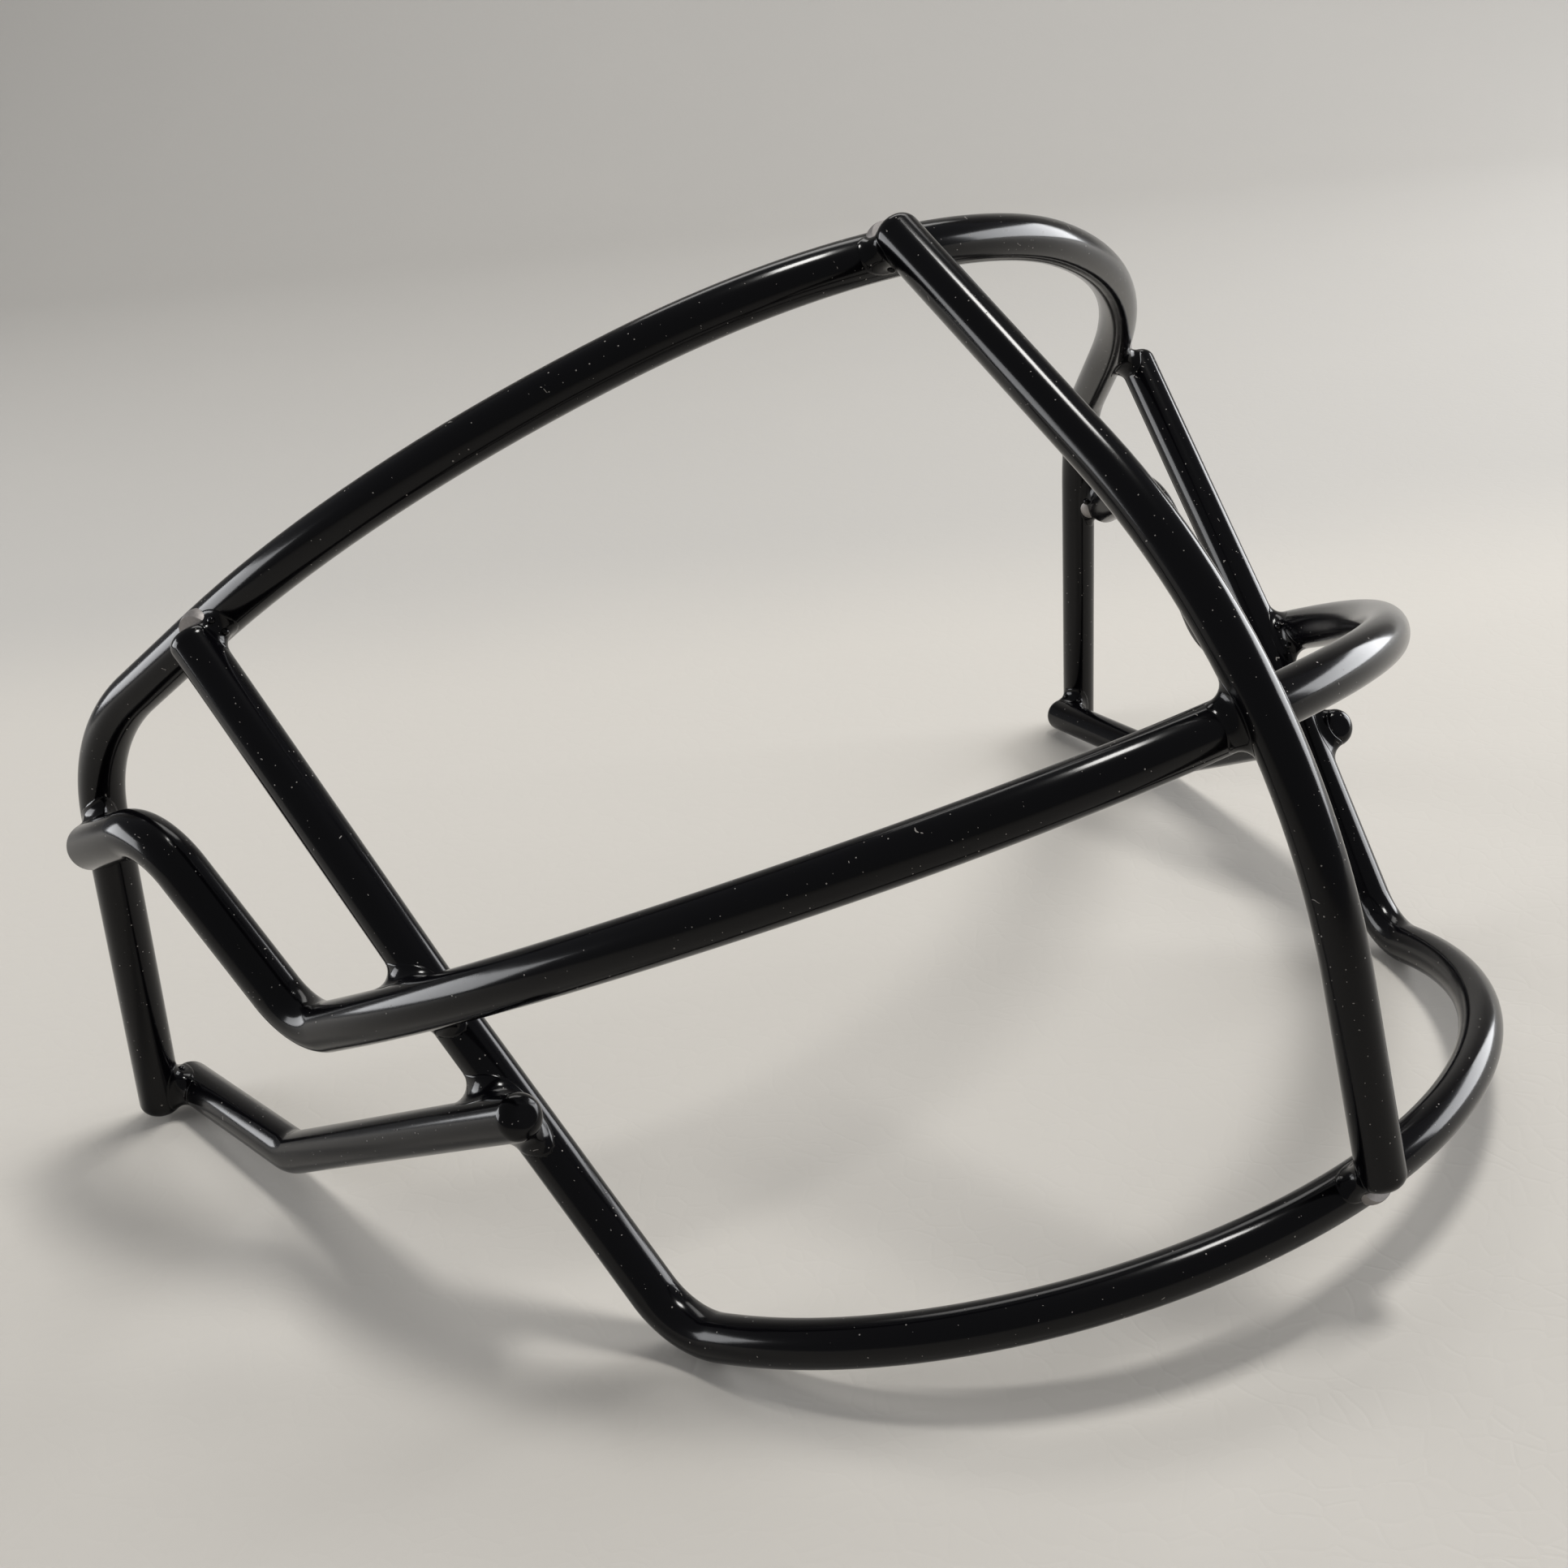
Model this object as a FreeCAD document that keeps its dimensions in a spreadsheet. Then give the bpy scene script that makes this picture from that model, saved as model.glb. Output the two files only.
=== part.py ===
# Helmet face guard: six bent steel wires, welded where they cross and dipped in a thick coating. Millimetres.
#
# The guard stands as it rests on a table: on the rear ends of its jaw bars and the two bends of the chin bar.
# X runs across the face, the front is -Y and +Z is up. The middle plane is X = 0; the wearer's right is -X.
# The origin is on the table, under the middle of the guard.
import FreeCAD, Part
import math
import os
from FreeCAD import Placement, Rotation, Vector

# Driving dimensions. An arched bar starts at its crown on the middle plane and runs in one plane, which drops
# towards the back by its slope: a crown arc, a side arc, then a straight run to the sharp corner of its first
# bend. The points that follow are the corners and the end of its wire on each side. They differ a little on
# the two sides, as they do on a guard that is bent and welded by hand. Their x is the distance from the middle
# plane; the centre bar's own x is signed, because that bar leans slightly.
sizes = {
    "wire_diameter": 6.35,
    "middle_wire_diameter": 7.1,
    "coat_thickness": 0.6,
    "end_cover": 1.2,
    "end_rounding": 2.2,
    "weld_radius": 3.5,
    "web_radius": 4.5,
    "joint_half_angle": 27.0,
    "least_set_down": 0.05,
    "most_set_down": 0.9,

    "upper_crown_y": -2.2,
    "upper_crown_z": 147.8,
    "upper_slope": 37.0,
    "upper_crown_radius": 81.4,
    "upper_crown_sweep": 31.8,
    "upper_side_radius": 138.7,
    "upper_side_sweep": 35.1,
    "upper_side_run": 38.6,
    "upper_bend_radius": 37.5,
    "right_leg_end_x": 116.6,
    "right_leg_end_y": 99.9,
    "right_leg_end_z": 2.3,
    "left_leg_end_x": 117.0,
    "left_leg_end_y": 100.1,
    "left_leg_end_z": 2.3,

    "middle_crown_y": -74.2,
    "middle_crown_z": 88.9,
    "middle_slope": 24.0,
    "middle_crown_radius": 79.3,
    "middle_crown_sweep": 41.1,
    "middle_side_radius": 153.2,
    "middle_side_sweep": 38.5,
    "middle_side_run": 15.0,
    "middle_bend_radius": 10.5,
    "hook_bend_radius": 12.0,
    "right_hook_corner_x": 113.7,
    "right_hook_corner_y": 61.2,
    "right_hook_corner_z": 72.3,
    "right_hook_end_x": 118.0,
    "right_hook_end_y": 85.3,
    "right_hook_end_z": 62.4,
    "left_hook_corner_x": 110.6,
    "left_hook_corner_y": 63.0,
    "left_hook_corner_z": 70.5,
    "left_hook_end_x": 116.5,
    "left_hook_end_y": 84.4,
    "left_hook_end_z": 59.6,

    "lower_crown_y": -94.7,
    "lower_crown_z": 18.4,
    "lower_slope": 14.1,
    "lower_crown_radius": 83.2,
    "lower_crown_sweep": 43.8,
    "lower_side_radius": 81.3,
    "lower_side_sweep": 29.2,
    "lower_side_run": 8.6,
    "lower_bend_radius": 13.2,
    "riser_bend_radius": 45.0,
    "right_riser_corner_x": 91.3,
    "right_riser_corner_y": 7.5,
    "right_riser_corner_z": 47.5,
    "right_riser_end_x": 101.4,
    "right_riser_end_y": 53.1,
    "right_riser_end_z": 103.1,
    "left_riser_corner_x": 90.9,
    "left_riser_corner_y": 6.4,
    "left_riser_corner_z": 48.6,
    "left_riser_end_x": 101.7,
    "left_riser_end_y": 54.0,
    "left_riser_end_z": 101.2,

    "center_top_x": -1.3,
    "center_top_y": -6.7,
    "center_top_z": 151.8,
    "center_corner_x": -0.2,
    "center_corner_y": -86.2,
    "center_corner_z": 99.2,
    "center_bend_radius": 105.9,
    "center_bottom_x": 0.3,
    "center_bottom_y": -99.85,
    "center_bottom_z": 21.7,

    "jaw_bend_radius": 11.3,
    "right_jaw_rear_x": 110.4,
    "right_jaw_rear_y": 101.1,
    "right_jaw_rear_z": 4.3,
    "right_jaw_corner_x": 106.8,
    "right_jaw_corner_y": 57.4,
    "right_jaw_corner_z": 6.5,
    "right_jaw_front_x": 92.6,
    "right_jaw_front_y": -13.8,
    "right_jaw_front_z": 40.0,
    "left_jaw_rear_x": 110.8,
    "left_jaw_rear_y": 100.2,
    "left_jaw_rear_z": 4.35,
    "left_jaw_corner_x": 106.7,
    "left_jaw_corner_y": 57.4,
    "left_jaw_corner_z": 5.6,
    "left_jaw_front_x": 93.7,
    "left_jaw_front_y": -7.8,
    "left_jaw_front_z": 36.6,
}

# The size of wire that each bar is bent from.
wire_sizes = {
    "upper_bar": "wire_diameter",
    "middle_bar": "middle_wire_diameter",
    "lower_bar": "wire_diameter",
    "center_bar": "wire_diameter",
    "right_jaw_bar": "wire_diameter",
    "left_jaw_bar": "wire_diameter",
}

# Each weld: its name, the outer bar, the inner bar, and the side of the middle plane it is on (0 = on it).
welds = [
    ("weld_center_on_upper", "center_bar", "upper_bar", 0),
    ("weld_center_on_middle", "center_bar", "middle_bar", 0),
    ("weld_center_on_lower", "center_bar", "lower_bar", 0),
]
for side_name, side in (("right", -1), ("left", 1)):
    welds += [
        ("weld_%s_riser_on_upper" % side_name, "lower_bar", "upper_bar", side),
        ("weld_%s_middle_on_riser" % side_name, "middle_bar", "lower_bar", side),
        ("weld_%s_hook_on_leg" % side_name, "middle_bar", "upper_bar", side),
        ("weld_%s_jaw_on_riser" % side_name, side_name + "_jaw_bar", "lower_bar", side),
        ("weld_%s_leg_on_jaw" % side_name, "upper_bar", side_name + "_jaw_bar", side),
    ]

doc = FreeCAD.newDocument("face_guard")
sheet = doc.addObject("Spreadsheet::Sheet", "sizes")
for row, (alias, size) in enumerate(sizes.items(), start=1):
    sheet.set("A%d" % row, alias)
    sheet.set("B%d" % row, str(size))
    sheet.setAlias("B%d" % row, alias)
doc.recompute()


def size_of(alias):
    return float(sheet.get(alias))


def point_of(name):
    return Vector(size_of(name + "_x"), size_of(name + "_y"), size_of(name + "_z"))


def bent_runs(start, points, radii):
    # Straight runs from start through the points, joined at each inner point by a tangent arc.
    edges = []
    for corner, after, radius in zip(points[:-1], points[1:], radii):
        before = (corner - start).normalize()
        beyond = (after - corner).normalize()
        half_turn = before.getAngle(beyond) / 2
        first = corner - before * (radius * math.tan(half_turn))
        last = corner + beyond * (radius * math.tan(half_turn))
        middle = corner + (beyond - before).normalize() * (radius / math.cos(half_turn) - radius)
        edges.append(Part.LineSegment(start, first).toShape())
        edges.append(Part.Arc(first, middle, last).toShape())
        start = last
    edges.append(Part.LineSegment(start, points[-1]).toShape())
    return edges


def across(point):
    # The same point on the other side of the middle plane.
    return Vector(-point.x, point.y, point.z)


def mirrored(edge):
    return edge.mirror(Vector(0, 0, 0), Vector(1, 0, 0))


def side_runs(side_end, first_corner, side_name, corner_names, bend_radii):
    # The straight runs and bends that carry an arched bar on from the end of its side arc, on one side.
    corners = [point_of(side_name + "_" + corner_name) for corner_name in corner_names]
    if side_name == "left":
        return bent_runs(across(side_end), [across(first_corner)] + corners, bend_radii)
    return bent_runs(side_end, [first_corner] + [across(corner) for corner in corners], bend_radii)


def arched_bar(name, corner_names, bend_radii):
    # The whole wire of an arched bar, from its end on the left to its end on the right.
    slope = math.radians(size_of(name + "_slope"))
    back = Vector(0, math.cos(slope), -math.sin(slope))
    right = Vector(-1, 0, 0)
    crown = Vector(0, size_of(name + "_crown_y"), size_of(name + "_crown_z"))

    def along(turned):
        return right * math.cos(turned) + back * math.sin(turned)

    def inward(turned):
        return back * math.cos(turned) - right * math.sin(turned)

    crown_radius = size_of(name + "_crown_radius")
    crown_sweep = math.radians(size_of(name + "_crown_sweep"))
    crown_centre = crown + back * crown_radius
    crown_end = crown_centre - inward(crown_sweep) * crown_radius
    crown_arc = Part.Arc(across(crown_end), crown, crown_end).toShape()

    side_radius = size_of(name + "_side_radius")
    side_sweep = math.radians(size_of(name + "_side_sweep"))
    side_centre = crown_end + inward(crown_sweep) * side_radius
    side_middle = side_centre - inward(crown_sweep + side_sweep / 2) * side_radius
    side_end = side_centre - inward(crown_sweep + side_sweep) * side_radius
    side_arc = Part.Arc(crown_end, side_middle, side_end).toShape()

    first_corner = side_end + along(crown_sweep + side_sweep) * size_of(name + "_side_run")
    left_runs = side_runs(side_end, first_corner, "left", corner_names, bend_radii)
    right_runs = side_runs(side_end, first_corner, "right", corner_names, bend_radii)
    return left_runs + [mirrored(side_arc), crown_arc, side_arc] + right_runs


def jaw_bar(side_name):
    points = [point_of("%s_jaw_%s" % (side_name, place)) for place in ("rear", "corner", "front")]
    if side_name == "right":
        points = [across(point) for point in points]
    return bent_runs(points[0], points[1:], [size_of("jaw_bend_radius")])


def bar_edges():
    # The centre line of every bar, as the edges of one chain.
    return {
        "upper_bar": arched_bar("upper", ["leg_end"], [size_of("upper_bend_radius")]),
        "middle_bar": arched_bar(
            "middle",
            ["hook_corner", "hook_end"],
            [size_of("middle_bend_radius"), size_of("hook_bend_radius")],
        ),
        "lower_bar": arched_bar(
            "lower",
            ["riser_corner", "riser_end"],
            [size_of("lower_bend_radius"), size_of("riser_bend_radius")],
        ),
        "center_bar": bent_runs(
            point_of("center_top"),
            [point_of("center_corner"), point_of("center_bottom")],
            [size_of("center_bend_radius")],
        ),
        "right_jaw_bar": jaw_bar("right"),
        "left_jaw_bar": jaw_bar("left"),
    }


def end_runs(wire, length):
    # Two short straight runs that carry a wire's centre line on past its two ends.
    ends = [vertex.Point for vertex in (wire.OrderedVertexes[0], wire.OrderedVertexes[-1])]
    runs = []
    for end, edge in zip(ends, (wire.OrderedEdges[0], wire.OrderedEdges[-1])):
        far = max((vertex.Point for vertex in edge.Vertexes), key=lambda point: (point - end).Length)
        runs.append(Part.LineSegment(end, end + (end - far).normalize() * length).toShape())
    return runs


def swept(label, edges, radius_rule):
    # A round bar along a chain of edges, its radius bound to the sheet.
    path = doc.addObject("Part::Feature", label + "_path")
    path.Shape = Part.Wire(Part.__sortEdges__(edges))
    first_edge = path.Shape.OrderedEdges[0]
    start = path.Shape.OrderedVertexes[0].Point
    far = max((vertex.Point for vertex in first_edge.Vertexes), key=lambda point: (point - start).Length)
    section = doc.addObject("Part::Circle", label + "_section")
    section.setExpression("Radius", radius_rule)
    section.Placement = Placement(start, Rotation(Vector(0, 0, 1), far - start))
    bar = doc.addObject("Part::Sweep", label + "_round")
    bar.Sections = [section]
    bar.Spine = (path, ["Edge%d" % (number + 1) for number in range(len(path.Shape.Edges))])
    bar.Solid = True
    bar.Frenet = False
    doc.recompute()
    return bar


def rounded_ends(bar, label):
    # The same bar with the rims of its two flat ends rounded.
    faces = [face for face in bar.Shape.Faces if face.Surface.TypeId == "Part::GeomPlane"]
    rims = [face.Edges[0] for face in faces]
    numbers = [n for n, edge in enumerate(bar.Shape.Edges, start=1) if any(edge.isSame(rim) for rim in rims)]
    fillet = doc.addObject("Part::Fillet", label)
    fillet.Base = bar
    fillet.Edges = [(number, size_of("end_rounding"), size_of("end_rounding")) for number in numbers]
    doc.recompute()
    return fillet


def fused(label, shapes):
    if len(shapes) == 1:
        return shapes[0]
    union = doc.addObject("Part::MultiFuse", label)
    union.Shapes = shapes
    union.Refine = False
    doc.recompute()
    return union


def cut_away(label, base, tools):
    result = doc.addObject("Part::Cut", label)
    result.Base = base
    result.Tool = fused(label + "_tools", tools)
    result.Refine = False
    doc.recompute()
    return result


def joint_zone(label, place, radius_rule):
    # The band of a ball between two equal latitudes, its poles towards the two bars that cross there.
    zone = doc.addObject("Part::Sphere", label)
    zone.setExpression("Radius", radius_rule)
    zone.setExpression("Angle1", "-sizes.joint_half_angle")
    zone.setExpression("Angle2", "sizes.joint_half_angle")
    zone.Placement = place
    doc.recompute()
    return zone


def edges_on_side(edges, side):
    if side == 0:
        return Part.Compound(edges)
    return Part.Compound([edge for edge in edges if edge.CenterOfMass.x * side > 0])


# Bars: the bare steel, and the full thickness with the coating on it.
chains = bar_edges()
steel = {}
dipped = {}
for bar_name, edges in chains.items():
    wire = Part.Wire(Part.__sortEdges__(edges))
    diameter = wire_sizes[bar_name]
    steel[bar_name] = swept(bar_name + "_steel", edges, "sizes.%s / 2" % diameter)
    cover = end_runs(wire, size_of("end_cover"))
    outside_rule = "sizes.%s / 2 + sizes.coat_thickness" % diameter
    outside = swept(bar_name + "_outside", edges + cover, outside_rule)
    dipped[bar_name] = rounded_ends(outside, bar_name + "_dipped")

# Crossings: where each weld sits, half-way between the two centre lines, and the coating's web round it.
beads = {}
core_tools = {bar_name: [] for bar_name in chains}
coat_tools = {bar_name: [steel[bar_name]] for bar_name in chains}
coat_bases = {bar_name: [dipped[bar_name]] for bar_name in chains}
for weld_name, outer, inner, side in welds:
    outer_edges = edges_on_side(chains[outer], side)
    inner_edges = edges_on_side(chains[inner], side)
    distance, pairs, _ = outer_edges.distToShape(inner_edges)
    outer_point, inner_point = pairs[0]
    touching = (size_of(wire_sizes[outer]) + size_of(wire_sizes[inner])) / 2
    set_down = touching - distance
    print("%-28s set down %.2f mm at %s" % (weld_name, set_down, tuple(round(c, 1) for c in outer_point)))
    if not size_of("least_set_down") <= set_down <= size_of("most_set_down"):
        raise ValueError("%s: the wires overlap by %.2f mm" % (weld_name, set_down))
    place = Placement((outer_point + inner_point) / 2, Rotation(Vector(0, 0, 1), outer_point - inner_point))
    bead_zone = joint_zone(weld_name + "_zone", place, "sizes.weld_radius")
    web = joint_zone(weld_name + "_web", place, "sizes.web_radius")
    beads[weld_name] = cut_away(weld_name, bead_zone, [steel[outer], steel[inner]])
    core_tools[outer].append(steel[inner])
    coat_tools[outer] += [dipped[inner], web]
    coat_tools[inner] += [steel[outer], bead_zone]
    coat_bases[inner].append(web)

nodes = {}
for bar_name in chains:
    core_name = bar_name + "_core"
    inner_bars = list({tool.Name: tool for tool in core_tools[bar_name]}.values())
    nodes[core_name] = cut_away(core_name, steel[bar_name], inner_bars)
    coat_name = bar_name + "_coat"
    tools = list({tool.Name: tool for tool in coat_tools[bar_name]}.values())
    nodes[coat_name] = cut_away(coat_name, fused(coat_name + "_whole", coat_bases[bar_name]), tools)
nodes.update(beads)

for item in doc.Objects:
    if "Invalid" in item.State or "Error" in item.State:
        raise RuntimeError("%s failed: %s" % (item.Label, item.State))
for node_name, node in nodes.items():
    if node.Shape.isNull() or not node.Shape.isValid():
        raise RuntimeError("%s has no valid shape" % node_name)

os.makedirs("parts", exist_ok=True)
for node_name, node in nodes.items():
    node.Label = node_name
    node.Shape.exportStep("parts/%s.step" % node_name)
    print("%-28s %d solids %9.1f mm3" % (node_name, len(node.Shape.Solids), node.Shape.Volume))
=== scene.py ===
import math
import random

import bmesh
import bpy
from mathutils import Matrix, Vector


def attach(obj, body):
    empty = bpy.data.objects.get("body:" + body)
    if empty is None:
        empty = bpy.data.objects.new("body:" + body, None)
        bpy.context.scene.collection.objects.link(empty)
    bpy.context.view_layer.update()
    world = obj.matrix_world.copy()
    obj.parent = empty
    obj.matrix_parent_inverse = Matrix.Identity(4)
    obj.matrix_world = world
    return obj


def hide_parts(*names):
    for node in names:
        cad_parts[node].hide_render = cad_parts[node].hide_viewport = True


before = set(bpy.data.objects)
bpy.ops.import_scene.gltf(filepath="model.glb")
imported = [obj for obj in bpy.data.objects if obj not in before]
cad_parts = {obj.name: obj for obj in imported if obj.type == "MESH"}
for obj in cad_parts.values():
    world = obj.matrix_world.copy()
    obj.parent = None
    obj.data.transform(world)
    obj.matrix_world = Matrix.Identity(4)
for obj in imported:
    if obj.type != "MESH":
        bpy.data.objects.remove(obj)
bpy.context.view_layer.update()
scene = bpy.context.scene
scene.view_settings.view_transform = "Standard"
mm = 0.001
print("frame loaded")


class Straight:
    def __init__(self, start, end):
        self.start = start
        self.direction = (end - start).normalized()
        self.length = (end - start).length
        self.freeStart = False  # an end of the wire, which the coating closes
        self.freeEnd = False

    def at(self, distance):
        return self.start + self.direction * distance

    def distanceTo(self, point):
        return (point - self.start).dot(self.direction)

    def build(self, mesh, rim):
        grown = bmesh.ops.extrude_edge_only(mesh, edges=rim)["geom"]
        points = {part for part in grown if isinstance(part, bmesh.types.BMVert)}
        bmesh.ops.translate(mesh, verts=list(points), vec=self.direction * self.length)
        edges = [part for part in grown if isinstance(part, bmesh.types.BMEdge)]
        return [edge for edge in edges if set(edge.verts) <= points]


class Bend:
    def __init__(self, centre, start, axis, angle):
        self.centre = centre
        self.spoke = start - centre
        self.axis = axis.normalized()
        self.angle = angle
        self.length = self.spoke.length * angle
        self.freeStart = False
        self.freeEnd = False

    def at(self, distance):
        return self.centre + Matrix.Rotation(distance / self.spoke.length, 3, self.axis) @ self.spoke

    def distanceTo(self, point):
        radius = self.spoke.length
        away = point - self.centre
        return radius * math.atan2(away.dot(self.axis.cross(self.spoke)), away.dot(self.spoke))

    def mirrored(self):
        axis = Vector((self.axis.x, -self.axis.y, -self.axis.z))
        return Bend(across(self.centre), across(self.at(0)), axis, self.angle)

    def build(self, mesh, rim):
        steps = max(2, math.ceil(math.degrees(self.angle) / coating["degreesPerStep"]))
        geometry = rim + list({point for edge in rim for point in edge.verts})
        last = bmesh.ops.spin(mesh, geom=geometry, cent=self.centre, axis=self.axis, angle=self.angle,
                              steps=steps)["geom_last"]
        return [part for part in last if isinstance(part, bmesh.types.BMEdge)]


def across(point):  # the same point on the other side of the middle plane
    return Vector((-point.x, point.y, point.z))


def bentRuns(start, points, radii):  # straight runs from point to point, with a bend at each inner one
    runs = []
    for corner, after, radius in zip(points[:-1], points[1:], radii):
        before = (corner - start).normalized()
        beyond = (after - corner).normalized()
        turn = before.angle(beyond)
        first = corner - before * (radius * math.tan(turn / 2))
        axis = before.cross(beyond).normalized()
        runs.append(Straight(start, first))
        runs.append(Bend(first + axis.cross(before) * radius, first, axis, turn))
        start = runs[-1].at(runs[-1].length)
    return runs + [Straight(start, points[-1])]


def archedRuns(bar):  # the two halves of an arched bar, each from its crown to its end
    slope = math.radians(bar["slope"])
    back = Vector((0, math.cos(slope), -math.sin(slope)))
    right = Vector((-1, 0, 0))
    axis = right.cross(back)
    crown = Vector((0, *bar["crown"])) * mm
    crownBend = Bend(crown + back * bar["crownRadius"] * mm, crown, axis, math.radians(bar["crownSweep"]))
    crownEnd = crownBend.at(crownBend.length)
    inward = (crownBend.centre - crownEnd).normalized()
    sideCentre = crownEnd + inward * bar["sideRadius"] * mm
    sideBend = Bend(sideCentre, crownEnd, axis, math.radians(bar["sideSweep"]))
    sideEnd = sideBend.at(sideBend.length)
    onward = axis.cross(sideEnd - sideBend.centre).normalized()
    firstCorner = sideEnd + onward * bar["sideRun"] * mm
    radii = [radius * mm for radius in bar["bends"]]
    rightCorners = [firstCorner] + [Vector(corner) * mm for corner in bar["right"]]
    leftCorners = [across(firstCorner)] + [Vector(corner) * mm for corner in bar["left"]]
    return ([crownBend, sideBend] + bentRuns(sideEnd, rightCorners, radii),
            [crownBend.mirrored(), sideBend.mirrored()] + bentRuns(across(sideEnd), leftCorners, radii))


coating = {
    "thickness": 0.6 * mm,
    "endCover": 1.2 * mm,  # how far it reaches past the end of a wire
    "endRounding": 2.2 * mm,
    "sides": 56,
    "degreesPerStep": 2.0,
    "bevelSteps": 7,
    "capInset": 0.15 * mm,
}

# Sizes in millimetres, as the wires are bent: a crown arc and a side arc in one sloping plane, a straight
# run to the first corner, and then the corners and the end of each side. The wearer's right is -X.
archedBars = {
    "upper": {"wire": 6.35, "crown": (-2.2, 147.8), "slope": 37.0, "crownRadius": 81.4, "crownSweep": 31.8,
              "sideRadius": 138.7, "sideSweep": 35.1, "sideRun": 38.6, "bends": [37.5],
              "right": [(-116.6, 99.9, 2.3)], "left": [(117.0, 100.1, 2.3)]},
    "middle": {"wire": 7.1, "crown": (-74.2, 88.9), "slope": 24.0, "crownRadius": 79.3, "crownSweep": 41.1,
               "sideRadius": 153.2, "sideSweep": 38.5, "sideRun": 15.0, "bends": [10.5, 12.0],
               "right": [(-113.7, 61.2, 72.3), (-118.0, 85.3, 62.4)],
               "left": [(110.6, 63.0, 70.5), (116.5, 84.4, 59.6)]},
    "lower": {"wire": 6.35, "crown": (-94.7, 18.4), "slope": 14.1, "crownRadius": 83.2, "crownSweep": 43.8,
              "sideRadius": 81.3, "sideSweep": 29.2, "sideRun": 8.6, "bends": [13.2, 45.0],
              "right": [(-91.3, 7.5, 47.5), (-101.4, 53.1, 103.1)],
              "left": [(90.9, 6.4, 48.6), (101.7, 54.0, 101.2)]},
}
plainBars = {
    "center": {"wire": 6.35, "bend": 105.9,
               "points": [(-1.3, -6.7, 151.8), (-0.2, -86.2, 99.2), (0.3, -99.85, 21.7)]},
    "rightJaw": {"wire": 6.35, "bend": 11.3,
                 "points": [(-110.4, 101.1, 4.3), (-106.8, 57.4, 6.5), (-92.6, -13.8, 40.0)]},
    "leftJaw": {"wire": 6.35, "bend": 11.3,
                "points": [(110.8, 100.2, 4.35), (106.7, 57.4, 5.6), (93.7, -7.8, 36.6)]},
}


def lengthen(run, atStart, atEnd):  # a straight end run, carried on under the coating's closed end
    start = run.at(-coating["endCover"]) if atStart else run.start
    end = run.at(run.length + coating["endCover"]) if atEnd else run.at(run.length)
    longer = Straight(start, end)
    longer.freeStart, longer.freeEnd = atStart, atEnd
    return longer


def makeBars():
    bars = {}
    for name, sizes in archedBars.items():
        halves = archedRuns(sizes)
        for half in halves:
            half[-1] = lengthen(half[-1], False, True)
        bars[name] = {"ways": halves, "runs": halves[0] + halves[1]}
    for name, sizes in plainBars.items():
        points = [Vector(point) * mm for point in sizes["points"]]
        runs = bentRuns(points[0], points[1:], [sizes["bend"] * mm])
        runs[0] = lengthen(runs[0], True, False)
        runs[-1] = lengthen(runs[-1], False, True)
        bars[name] = {"ways": [runs], "runs": runs}
    for name, sizes in (archedBars | plainBars).items():
        bars[name]["radius"] = sizes["wire"] / 2 * mm + coating["thickness"]
    return bars


def finishMesh(mesh, name, material):
    bmesh.ops.recalc_face_normals(mesh, faces=mesh.faces)
    data = bpy.data.meshes.new(name)
    mesh.to_mesh(data)
    mesh.free()
    data.polygons.foreach_set("use_smooth", [True] * len(data.polygons))
    data.materials.append(material)
    piece = bpy.data.objects.new(name, data)
    scene.collection.objects.link(piece)
    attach(piece, "root")
    return piece


def closeEnd(mesh, rim):  # a flat end with its rim rounded
    bmesh.ops.edgeloop_fill(mesh, edges=rim)
    bmesh.ops.bevel(mesh, geom=rim, affect="EDGES", offset=coating["endRounding"], offset_type="OFFSET",
                    segments=coating["bevelSteps"], profile=0.5, material=-1, clamp_overlap=True)
    cap = max(mesh.faces, key=lambda face: len(face.verts))
    bmesh.ops.inset_individual(mesh, faces=[cap], thickness=coating["capInset"])
    bmesh.ops.poke(mesh, faces=[cap])


search = {  # how finely the wires' surfaces and crossings are looked for
    "step": 0.1 * mm,
    "slopeStep": 0.002 * mm,
    "reach": 15 * mm,  # past the ends of a wire
    "spacing": 2.5 * mm,
    "sideStart": 12 * mm,  # from the middle plane
    "crossingRounds": 60,
    "ballRounds": 25,
    "longestMove": 1.5 * mm,
    "closeEnough": 0.0005 * mm,
}


def sleeve(name, bar, material, node):  # the coating on one wire
    mesh = bmesh.new()
    firstRun = bar["runs"][0]
    onward = firstRun.at(search["step"]) - firstRun.at(0)
    facing = Vector((0, 0, 1)).rotation_difference(onward).to_matrix().to_4x4()
    circle = bmesh.ops.create_circle(mesh, segments=coating["sides"], radius=bar["radius"],
                                     matrix=Matrix.Translation(firstRun.at(0)) @ facing)
    middleRim = list({edge for point in circle["verts"] for edge in point.link_edges})
    for runs in bar["ways"]:
        rim = middleRim
        for run in runs:
            rim = run.build(mesh, rim)
        closeEnd(mesh, rim)
    if len(bar["ways"]) == 1:
        closeEnd(mesh, [edge for edge in mesh.edges if edge.is_boundary])
    piece = finishMesh(mesh, name, material)
    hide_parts(node)
    return piece


def skinDistance(bar, point):  # how far a point is from the coated surface of a bar
    reach = search["reach"]
    radial, beyond = None, None
    for run in bar["runs"]:
        along = run.distanceTo(point)
        low = -reach if run.freeStart else 0
        high = run.length + reach if run.freeEnd else run.length
        away = (point - run.at(min(max(along, low), high))).length
        if radial is None or away < radial:
            radial = away
            beyond = max(-along if run.freeStart else -reach, along - run.length if run.freeEnd else -reach)
    rounding = coating["endRounding"]
    sideways = radial - bar["radius"] + rounding
    endways = beyond + rounding
    if endways <= 0:
        return sideways - rounding
    if sideways <= 0:
        return endways - rounding
    return math.hypot(sideways, endways) - rounding


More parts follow.
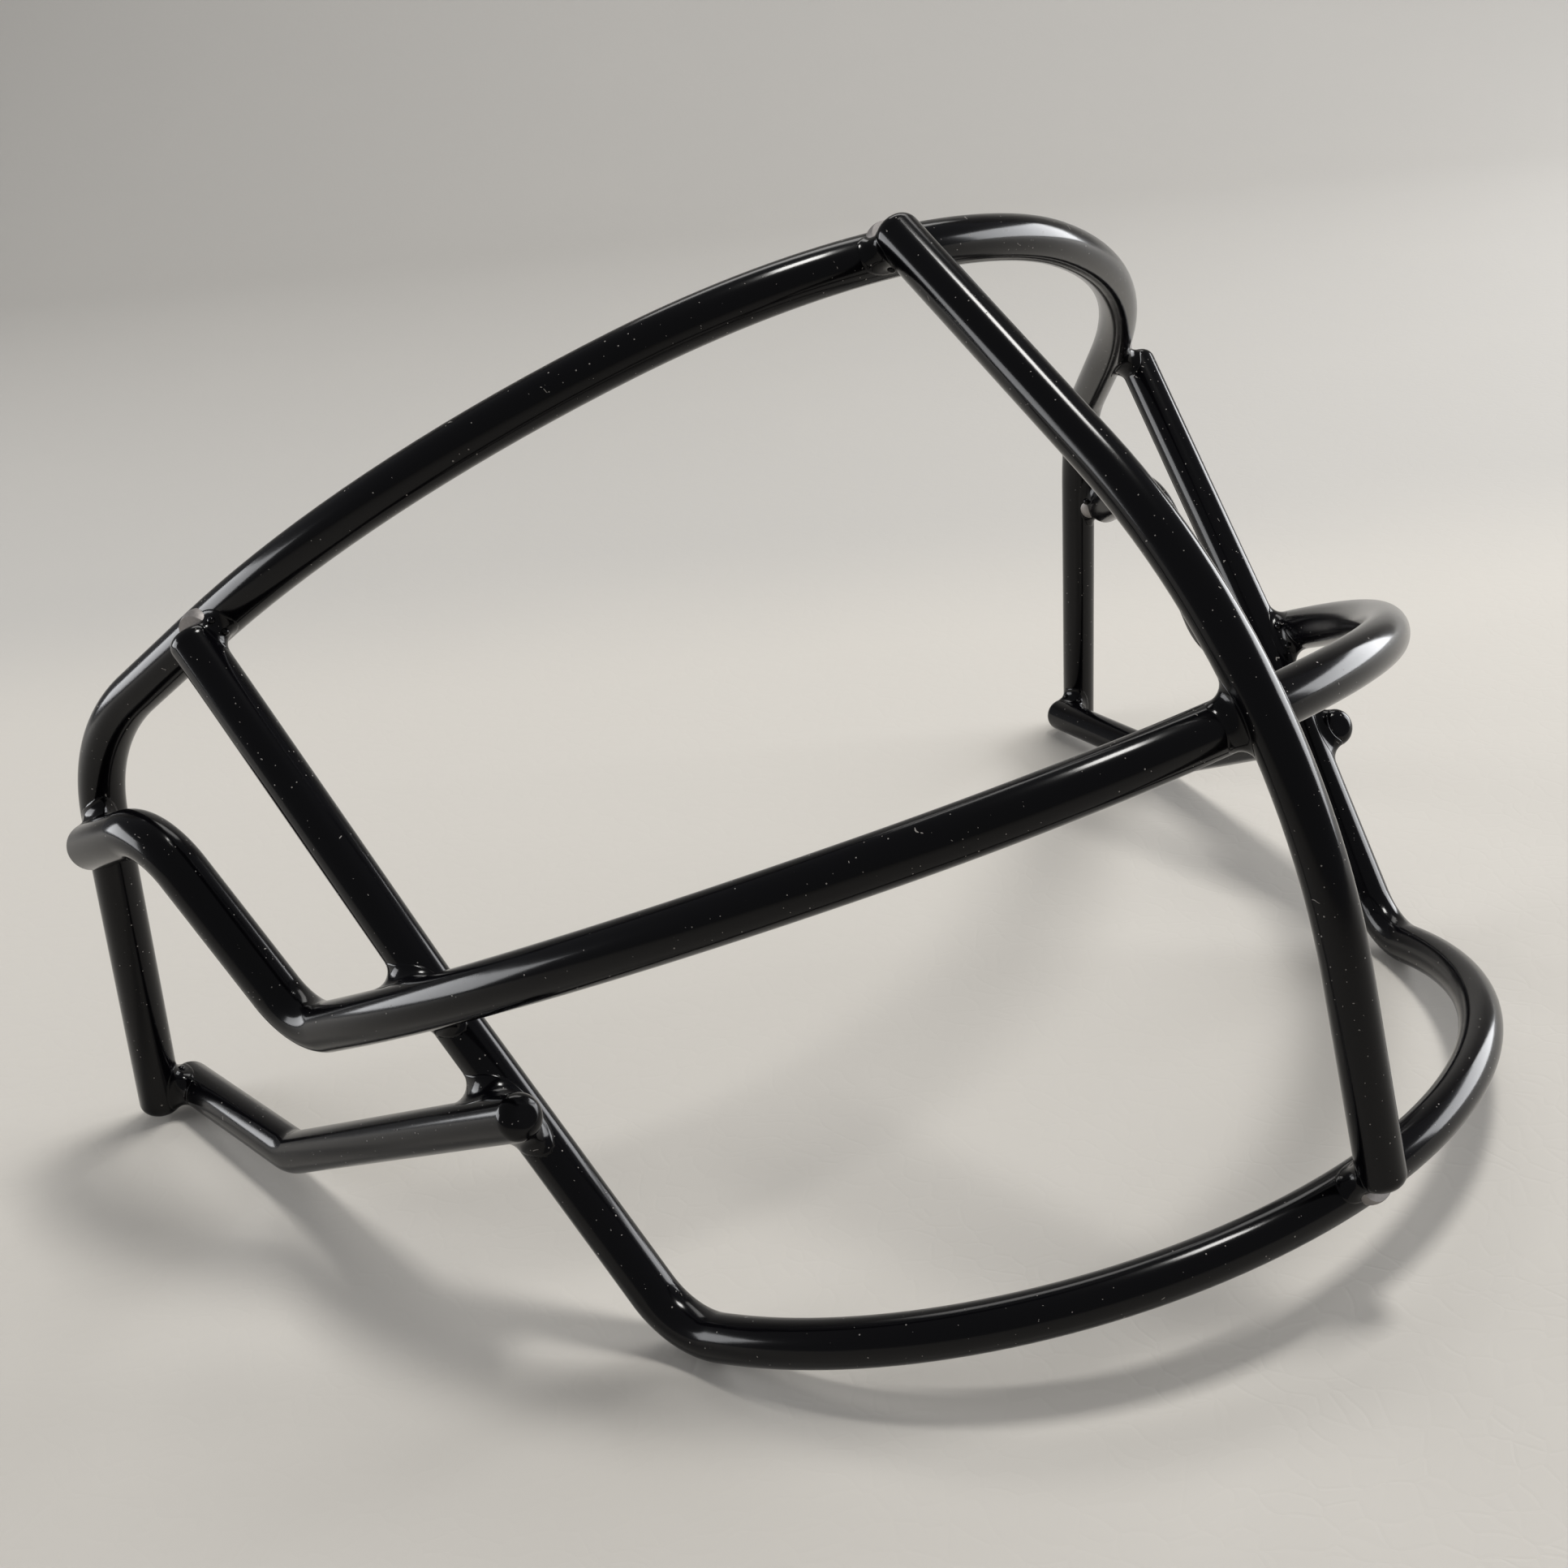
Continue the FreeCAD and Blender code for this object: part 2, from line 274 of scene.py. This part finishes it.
def skinSlope(bar, point):  # the direction straight away from a bar
    step = search["slopeStep"]
    axes = (Vector((step, 0, 0)), Vector((0, step, 0)), Vector((0, 0, step)))
    slope = Vector([skinDistance(bar, point + axis) - skinDistance(bar, point - axis) for axis in axes])
    return slope.normalized()


def crossing(outer, inner, side):  # the nearest points of two bars' centre lines, on one side of the guard
    def onSide(spot):
        if side == 0:
            return abs(spot.x) < search["sideStart"]
        return spot.x * side > search["sideStart"]

    def spots(bar):
        found = []
        for run in bar["runs"]:
            count = max(2, int(run.length / search["spacing"]))
            found += [(run, run.at(run.length * step / count)) for step in range(count + 1)]
        return [spot for spot in found if onSide(spot[1])]

    outerRun, outerSpot, innerRun, innerSpot = min(
        ((*one, *two) for one in spots(outer) for two in spots(inner)),
        key=lambda pair: (pair[1] - pair[3]).length_squared)
    for _ in range(search["crossingRounds"]):
        outerSpot = outerRun.at(min(max(outerRun.distanceTo(innerSpot), 0), outerRun.length))
        innerSpot = innerRun.at(min(max(innerRun.distanceTo(outerSpot), 0), innerRun.length))
    return outerSpot, innerSpot


webs = {
    "radius": 2.6 * mm,  # of the hollow between two coated wires
    "unevenness": 0.16,
    "spokes": 72,
    "steps": 10,
    "buried": 0.9 * mm,  # how far its edges reach under the sleeves
    "start": 2.2,  # times the radius, from the crossing to where the ball starts
    "bubble": (0.55 * mm, 0.95 * mm),
    "bubbleSunk": 0.15,  # times its size
    "bubbleFineness": 3,
    "fuller": {"rightJawOnRiser": 1.4, "leftJawOnRiser": 1.4},  # times the radius
}

# Outer bar, inner bar, side of the guard, and the directions in degrees in which the coating left a bubble.
joints = {
    "centerOnUpper": ("center", "upper", 0, (200,)),
    "centerOnMiddle": ("center", "middle", 0, (35, 60)),
    "centerOnLower": ("center", "lower", 0, (150,)),
    "rightRiserOnUpper": ("lower", "upper", -1, (40, 75)),
    "rightMiddleOnRiser": ("middle", "lower", -1, (60, 95)),
    "rightHookOnLeg": ("middle", "upper", -1, ()),
    "rightJawOnRiser": ("rightJaw", "lower", -1, (250,)),
    "rightLegOnJaw": ("upper", "rightJaw", -1, (110,)),
    "leftRiserOnUpper": ("lower", "upper", 1, (20,)),
    "leftMiddleOnRiser": ("middle", "lower", 1, (80, 130, 260)),
    "leftHookOnLeg": ("middle", "upper", 1, (300,)),
    "leftJawOnRiser": ("leftJaw", "lower", 1, ()),
    "leftLegOnJaw": ("upper", "leftJaw", 1, (60, 100)),
}


def rollBall(ball, radius, outer, inner, outward, upward):  # moved until it touches both coated wires
    for _ in range(search["ballRounds"]):
        missOuter = skinDistance(outer, ball) - radius
        missInner = skinDistance(inner, ball) - radius
        slopeOuter, slopeInner = skinSlope(outer, ball), skinSlope(inner, ball)
        a, b = slopeOuter.dot(outward), slopeOuter.dot(upward)
        c, d = slopeInner.dot(outward), slopeInner.dot(upward)
        spread = a * d - b * c
        moveOut = (-missOuter * d + missInner * b) / spread
        moveUp = (-missInner * a + missOuter * c) / spread
        size = math.hypot(moveOut, moveUp)
        ease = min(1, search["longestMove"] / max(size, search["closeEnough"]))
        ball = ball + outward * (moveOut * ease) + upward * (moveUp * ease)
        if size < search["closeEnough"]:
            break
    return ball


def joinLoops(loops):  # a closed skin through rings of points
    mesh = bmesh.new()
    rims = []
    for loop in loops:
        points = [mesh.verts.new(point) for point in loop]
        rims.append([mesh.edges.new(pair) for pair in zip(points, points[1:] + points[:1])])
    for rim, following in zip(rims[:-1], rims[1:]):
        bmesh.ops.bridge_loops(mesh, edges=rim + following)
    bmesh.ops.edgeloop_fill(mesh, edges=rims[0])
    bmesh.ops.edgeloop_fill(mesh, edges=rims[-1])
    return mesh


def web(name, bars, material):
    # The hollow that a ball leaves as it rolls round a crossing, touching both coated wires.
    outerName, innerName, side, bubbles = joints[name]
    outer, inner = bars[outerName], bars[innerName]
    outerSpot, innerSpot = crossing(outer, inner, side)
    upward = (outerSpot - innerSpot).normalized()
    gap = (outerSpot - innerSpot).length - inner["radius"] - outer["radius"]
    middle = innerSpot + upward * (inner["radius"] + gap / 2)
    east = upward.orthogonal().normalized()
    north = upward.cross(east)
    draw = random.Random(name)
    phases = [draw.uniform(0, math.tau) for _ in range(3)]
    buriedOuter, buriedInner = [], []
    surface = [[] for _ in range(webs["steps"] + 1)]
    balls = []
    for spoke in range(webs["spokes"]):
        turn = math.tau * spoke / webs["spokes"]
        outward = east * math.cos(turn) + north * math.sin(turn)
        wave = sum(math.sin((count + 1) * turn + phase) for count, phase in enumerate(phases)) / 3
        radius = webs["radius"] * webs["fuller"].get(name, 1) * (1 + webs["unevenness"] * wave)
        ball = middle + outward * (webs["start"] * radius)
        ball = rollBall(ball, radius, outer, inner, outward, upward)
        fromOuter, fromInner = -skinSlope(outer, ball), -skinSlope(inner, ball)
        opening = fromOuter.angle(fromInner)
        buriedOuter.append(ball + fromOuter * (radius + webs["buried"]))
        for step, loop in enumerate(surface):
            share = step / webs["steps"]
            ray = fromOuter * math.sin((1 - share) * opening) + fromInner * math.sin(share * opening)
            loop.append(ball + ray / math.sin(opening) * radius)
        buriedInner.append(ball + fromInner * (radius + webs["buried"]))
        balls.append((ball, (fromOuter + fromInner).normalized(), radius))
    mesh = joinLoops([buriedOuter] + surface + [buriedInner])
    for direction in bubbles:
        ball, ray, radius = balls[round(direction / 360 * webs["spokes"]) % webs["spokes"]]
        size = draw.uniform(*webs["bubble"])
        place = Matrix.Translation(ball + ray * (radius + size * webs["bubbleSunk"]))
        bmesh.ops.create_icosphere(mesh, subdivisions=webs["bubbleFineness"], radius=size, matrix=place)
    return finishMesh(mesh, name + "Web", material)


class Shade:  # a socket of a material, so that shader maths can be written as expressions
    def __init__(self, tree, socket):
        self.tree = tree
        self.socket = socket

    def maths(self, operation, first, second):
        made = self.tree.nodes.new("ShaderNodeMath")
        made.operation = operation
        for place, value in enumerate((first, second)):
            if isinstance(value, Shade):
                self.tree.links.new(value.socket, made.inputs[place])
            else:
                made.inputs[place].default_value = value
        return Shade(self.tree, made.outputs[0])

    def __add__(self, other):
        return self.maths("ADD", self, other)

    def __radd__(self, other):
        return self.maths("ADD", other, self)

    def __sub__(self, other):
        return self.maths("SUBTRACT", self, other)

    def __mul__(self, other):
        return self.maths("MULTIPLY", self, other)

    def __lt__(self, other):
        return self.maths("LESS_THAN", self, other)


class Finish:  # a material and its one node-making method
    def __init__(self, name):
        self.material = bpy.data.materials.new(name)
        self.material.use_nodes = True
        self.tree = self.material.node_tree
        self.shader = self.tree.nodes["Principled BSDF"]

    def node(self, kind, settings=None, sockets=None, out=0):
        made = self.tree.nodes.new(kind)
        for name, value in (settings or {}).items():
            setattr(made, name, value)
        for name, value in (sockets or {}).items():
            if isinstance(value, Shade):
                self.tree.links.new(value.socket, made.inputs[name])
            else:
                made.inputs[name].default_value = value
        return Shade(self.tree, made.outputs[out])

    def coordinates(self):
        return self.node("ShaderNodeTexCoord", out="Object")

    def mixed(self, factor, first, second):
        return self.node("ShaderNodeMix", {"data_type": "RGBA"}, {0: factor, 6: first, 7: second}, out=2)

    def feed(self, **sockets):
        for name, value in sockets.items():
            target = self.shader.inputs[name.replace("_", " ")]
            if isinstance(value, Shade):
                self.tree.links.new(value.socket, target)
            else:
                target.default_value = value


dipLook = {
    "black": (0.0016, 0.0015, 0.0022, 1),
    "dust": (0.34, 0.32, 0.30, 1),
    "dustCover": 0.8,
    "roughness": 0.15,
    "haze": 0.05,
    "dustRoughness": 0.7,
    "refraction": 1.31,
    # Cells of the pattern in a metre, size of a dot in its cell, and how many cells hold one.
    "fineDust": (1000, 0.13, 1.0),
    "specks": (260, 0.05, 1.1),
    "lint": (120, 0.13, 0.5),
    "lintStretch": (9.0, 1.0, 9.0),
    "lintTurn": (0.6, 0.5, 0.9),
    "lintCurl": 0.0035,
    "dustHeight": 0.5,  # times the waves' depth
    # Scale and detail of a noise.
    "curls": (420.0, 1.0),
    "patches": (34.0, 3.0),
    "hazePatches": (70.0, 4.0),
    "waves": (140.0, 2.0),
    "waveDepth": 0.06 * mm,
    "waveStrength": 0.35,
}


def dipCoating():
    finish = Finish("glossyBlackDip")
    place = finish.coordinates()

    def noise(kind, out="Fac"):
        scale, detail = dipLook[kind]
        sockets = {"Vector": place, "Scale": scale, "Detail": detail}
        return finish.node("ShaderNodeTexNoise", {}, sockets, out)

    patches = noise("patches")

    def grains(kind, where):  # small dots, kept in a share of the pattern's cells
        scale, size, share = dipLook[kind]
        cells = {"Vector": where, "Scale": scale}
        near = finish.node("ShaderNodeTexVoronoi", {"feature": "F1"}, cells, out="Distance")
        tint = finish.node("ShaderNodeTexVoronoi", {"feature": "F1"}, cells, out="Color")
        chance = finish.node("ShaderNodeSeparateColor", {}, {"Color": tint}, out="Red")
        spread = finish.node("ShaderNodeSeparateColor", {}, {"Color": tint}, out="Green")
        return (near < spread * size) * (chance < patches * share)

    def either(first, second):
        return finish.node("ShaderNodeMath", {"operation": "MAXIMUM"}, {0: first, 1: second})

    curled = finish.node("ShaderNodeMix", {"data_type": "RGBA", "blend_type": "ADD"}, {
        0: dipLook["lintCurl"], 6: place, 7: noise("curls", "Color")}, out=2)
    lintSpace = finish.node("ShaderNodeMapping", {}, {
        "Vector": curled, "Rotation": dipLook["lintTurn"], "Scale": dipLook["lintStretch"]})
    dust = either(grains("fineDust", place), either(grains("specks", place), grains("lint", lintSpace)))
    haze = noise("hazePatches") - 0.5
    dulling = dust * (dipLook["dustRoughness"] - dipLook["roughness"])
    waves = noise("waves")
    finish.feed(Base_Color=finish.mixed(dust * dipLook["dustCover"], dipLook["black"], dipLook["dust"]),
                Roughness=dipLook["roughness"] + haze * dipLook["haze"] + dulling,
                Normal=finish.node("ShaderNodeBump", {}, {
                    "Strength": dipLook["waveStrength"], "Distance": dipLook["waveDepth"],
                    "Height": waves + dust * dipLook["dustHeight"]}))
    finish.shader.inputs["IOR"].default_value = dipLook["refraction"]
    return finish.material


steelLook = {
    "wire": {"colour": (0.55, 0.56, 0.58), "roughness": 0.3, "streakScale": 900.0},
    "weld": {"colour": (0.36, 0.34, 0.33), "roughness": 0.45, "streakScale": 2400.0},
    "shade": 0.6,  # of the darker streaks
    "streakDetail": 6.0,
    "roughnessSpread": 0.2,
    "streakDepth": 0.05 * mm,
    "streakStrength": 0.3,
}


def drawnSteel(name, kind):
    look = steelLook[kind]
    finish = Finish(name)
    streaks = finish.node("ShaderNodeTexNoise", {}, {
        "Vector": finish.coordinates(), "Scale": look["streakScale"],
        "Detail": steelLook["streakDetail"]}, out="Fac")
    dark = tuple(part * steelLook["shade"] for part in look["colour"]) + (1,)
    finish.feed(Base_Color=finish.mixed(streaks, dark, look["colour"] + (1,)),
                Roughness=look["roughness"] + streaks * steelLook["roughnessSpread"],
                Normal=finish.node("ShaderNodeBump", {}, {
                    "Strength": steelLook["streakStrength"], "Distance": steelLook["streakDepth"],
                    "Height": streaks}))
    finish.shader.inputs["Metallic"].default_value = 1.0
    return finish.material


bars = makeBars()
dipMaterial = dipCoating()
steelMaterial = drawnSteel("drawnSteel", "wire")
weldMaterial = drawnSteel("weldedSteel", "weld")
for nodeName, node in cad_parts.items():
    inner = steelMaterial if nodeName.endswith("_core") else weldMaterial
    slots = node.data.materials
    if not slots:
        slots.append(inner)
    for place in range(len(slots)):
        slots[place] = inner

sleeveNodes = {
    "upper": "upper_bar_coat",
    "middle": "middle_bar_coat",
    "lower": "lower_bar_coat",
    "center": "center_bar_coat",
    "rightJaw": "right_jaw_bar_coat",
    "leftJaw": "left_jaw_bar_coat",
}
for barName, nodeName in sleeveNodes.items():
    sleeve(barName + "BarCoating", bars[barName], dipMaterial, nodeName)
print("sleeves built")
for jointName in joints:
    web(jointName, bars, dipMaterial)
print("webs built")


floorLook = {
    "near": (0.55, 0.525, 0.485, 1),
    # painted shade: the floor and backdrop further behind the guard are coloured darker, standing in for
    # the light falling off there
    "far": (0.47, 0.455, 0.43, 1),
    "shadeFade": (0.20, 0.34),  # metres behind the guard between which the colour changes to the painted shade of the far colour
    "mottleScale": 9.0,
    "mottleDetail": 3.0,
    "mottle": 0.25,
    "crinkle": 0.25,
    "crinkleScale": 190.0,
    "crinkleDepth": 0.5 * mm,
    "crinkleWander": 0.02,
    "wanderScale": 40.0,
    "crinkleWidth": 0.12,  # times a fold's spacing
    "roughness": 0.75,
    "reach": 1.6,  # metres of flat floor to each side
    "backdropStart": 0.9,  # metres behind the guard
    "backdropRadius": 0.5,
    "backdropHeight": 1.2,
}

lamps = {  # place to the right of, behind and above the guard, in metres, and power in watts
    "overhead": {
        "place": (0.25, 0.12, 1.2), "size": (0.26, 0.22),
        "power": 8, "colour": (1.0, 0.985, 0.955)},
    "farLight": {
        "place": (0.0, 1.1, 1.25), "size": (1.2, 0.4),
        "power": 5.5, "colour": (1.0, 0.985, 0.96)},
    "rightPanel": {
        "place": (1.05, 0.5, 0.28), "size": (0.95, 0.5),
        "power": 15, "colour": (0.97, 0.98, 1.0)},
    "leftPanel": {
        "place": (-1.1, 0.05, 0.28), "size": (0.7, 0.4),
        "power": 7, "colour": (0.97, 0.98, 1.0)},
}
lampTarget = Vector((0, 0, 0.06))
room = {"colour": (0.8, 0.81, 0.83, 1), "strength": 0.26}

view = {
    "place": (-0.19217, -0.26827, 0.20882),
    "azimuth": 37.614,  # degrees from +Y towards +X
    "down": 25.907,
    "roll": 5.659,
    "lens": 47.8,
    "shift": (-0.1432, 0.0211),
}


def floorCloth():
    finish = Finish("paleFloor")
    place = finish.coordinates()
    turned = finish.node("ShaderNodeMapping", {}, {
        "Vector": place, "Rotation": (0, 0, math.radians(view["azimuth"]))})
    behind = finish.node("ShaderNodeSeparateXYZ", {}, {"Vector": turned}, out="Y")
    # painted shade: the colour darkens from near to far behind the guard, with a random mottle on top
    shadeFade = finish.node("ShaderNodeMapRange", {"interpolation_type": "SMOOTHSTEP"}, {
        "Value": behind, "From Min": floorLook["shadeFade"][0], "From Max": floorLook["shadeFade"][1]})
    mottle = finish.node("ShaderNodeTexNoise", {}, {
        "Vector": place, "Scale": floorLook["mottleScale"],
        "Detail": floorLook["mottleDetail"]}, out="Fac")
    share = shadeFade + (mottle - 0.5) * floorLook["mottle"]
    wander = finish.node("ShaderNodeTexNoise", {}, {
        "Vector": place, "Scale": floorLook["wanderScale"]}, out="Color")
    wandered = finish.node("ShaderNodeMix", {"data_type": "RGBA", "blend_type": "ADD"}, {
        0: floorLook["crinkleWander"], 6: place, 7: wander}, out=2)
    folds = finish.node("ShaderNodeTexVoronoi", {"feature": "DISTANCE_TO_EDGE"}, {
        "Vector": wandered, "Scale": floorLook["crinkleScale"]}, out="Distance")
    flattened = finish.node("ShaderNodeMath", {"operation": "MINIMUM"}, {
        0: folds, 1: floorLook["crinkleWidth"]})
    finish.feed(Base_Color=finish.mixed(share, floorLook["near"], floorLook["far"]),
                Normal=finish.node("ShaderNodeBump", {}, {
                    "Strength": floorLook["crinkle"], "Distance": floorLook["crinkleDepth"],
                    "Height": flattened}))
    finish.shader.inputs["Roughness"].default_value = floorLook["roughness"]
    return finish.material


def makeFloor():
    mesh = bmesh.new()
    reach = floorLook["reach"]
    left = mesh.verts.new((-reach, -reach, 0))
    right = mesh.verts.new((reach, -reach, 0))
    edge = mesh.edges.new((left, right))
    run = Straight(Vector((0, -reach, 0)), Vector((0, floorLook["backdropStart"], 0)))
    rim = run.build(mesh, [edge])
    radius = floorLook["backdropRadius"]
    start = run.at(run.length)
    rim = Bend(start + Vector((0, 0, radius)), start, Vector((1, 0, 0)), math.pi / 2).build(mesh, rim)
    Straight(Vector((0, 0, 0)), Vector((0, 0, floorLook["backdropHeight"]))).build(mesh, rim)
    turn = Matrix.Rotation(-math.radians(view["azimuth"]), 3, "Z")
    bmesh.ops.rotate(mesh, cent=(0, 0, 0), matrix=turn, verts=mesh.verts)
    bmesh.ops.recalc_face_normals(mesh, faces=mesh.faces)
    mesh.normal_update()
    if sum(face.normal.z for face in mesh.faces) < 0:
        bmesh.ops.reverse_faces(mesh, faces=mesh.faces)
    data = bpy.data.meshes.new("floor")
    mesh.to_mesh(data)
    mesh.free()
    data.polygons.foreach_set("use_smooth", [True] * len(data.polygons))
    data.materials.append(floorCloth())
    floor = bpy.data.objects.new("floor", data)
    scene.collection.objects.link(floor)


def makeLight():
    world = bpy.data.worlds.new("room")
    scene.world = world
    world.use_nodes = True
    background = world.node_tree.nodes["Background"]
    background.inputs["Color"].default_value = room["colour"]
    background.inputs["Strength"].default_value = room["strength"]
    turn = Matrix.Rotation(-math.radians(view["azimuth"]), 3, "Z")
    for name, lamp in lamps.items():
        data = bpy.data.lights.new(name, "AREA")
        data.shape = "RECTANGLE"
        data.size, data.size_y = lamp["size"]
        data.energy = lamp["power"]
        data.color = lamp["colour"]
        light = bpy.data.objects.new(name, data)
        scene.collection.objects.link(light)
        light.location = turn @ Vector(lamp["place"])
        light.rotation_euler = (light.location - lampTarget).to_track_quat("Z", "Y").to_euler()


def makeCamera():
    azimuth, down, roll = (math.radians(view[key]) for key in ("azimuth", "down", "roll"))
    look = Vector((math.sin(azimuth) * math.cos(down), math.cos(azimuth) * math.cos(down), -math.sin(down)))
    level = Vector((math.cos(azimuth), -math.sin(azimuth), 0))
    right = level * math.cos(roll) - level.cross(look) * math.sin(roll)
    up = right.cross(look)
    turn = Matrix((right, up, -look)).transposed()
    data = bpy.data.cameras.new("camera")
    data.sensor_width = 36
    data.lens = view["lens"]
    data.shift_x, data.shift_y = view["shift"]
    data.clip_start = 0.01
    camera = bpy.data.objects.new("camera", data)
    scene.collection.objects.link(camera)
    camera.matrix_world = Matrix.Translation(view["place"]) @ turn.to_4x4()
    scene.camera = camera


makeFloor()
makeLight()
makeCamera()
print("floor, light and camera set")
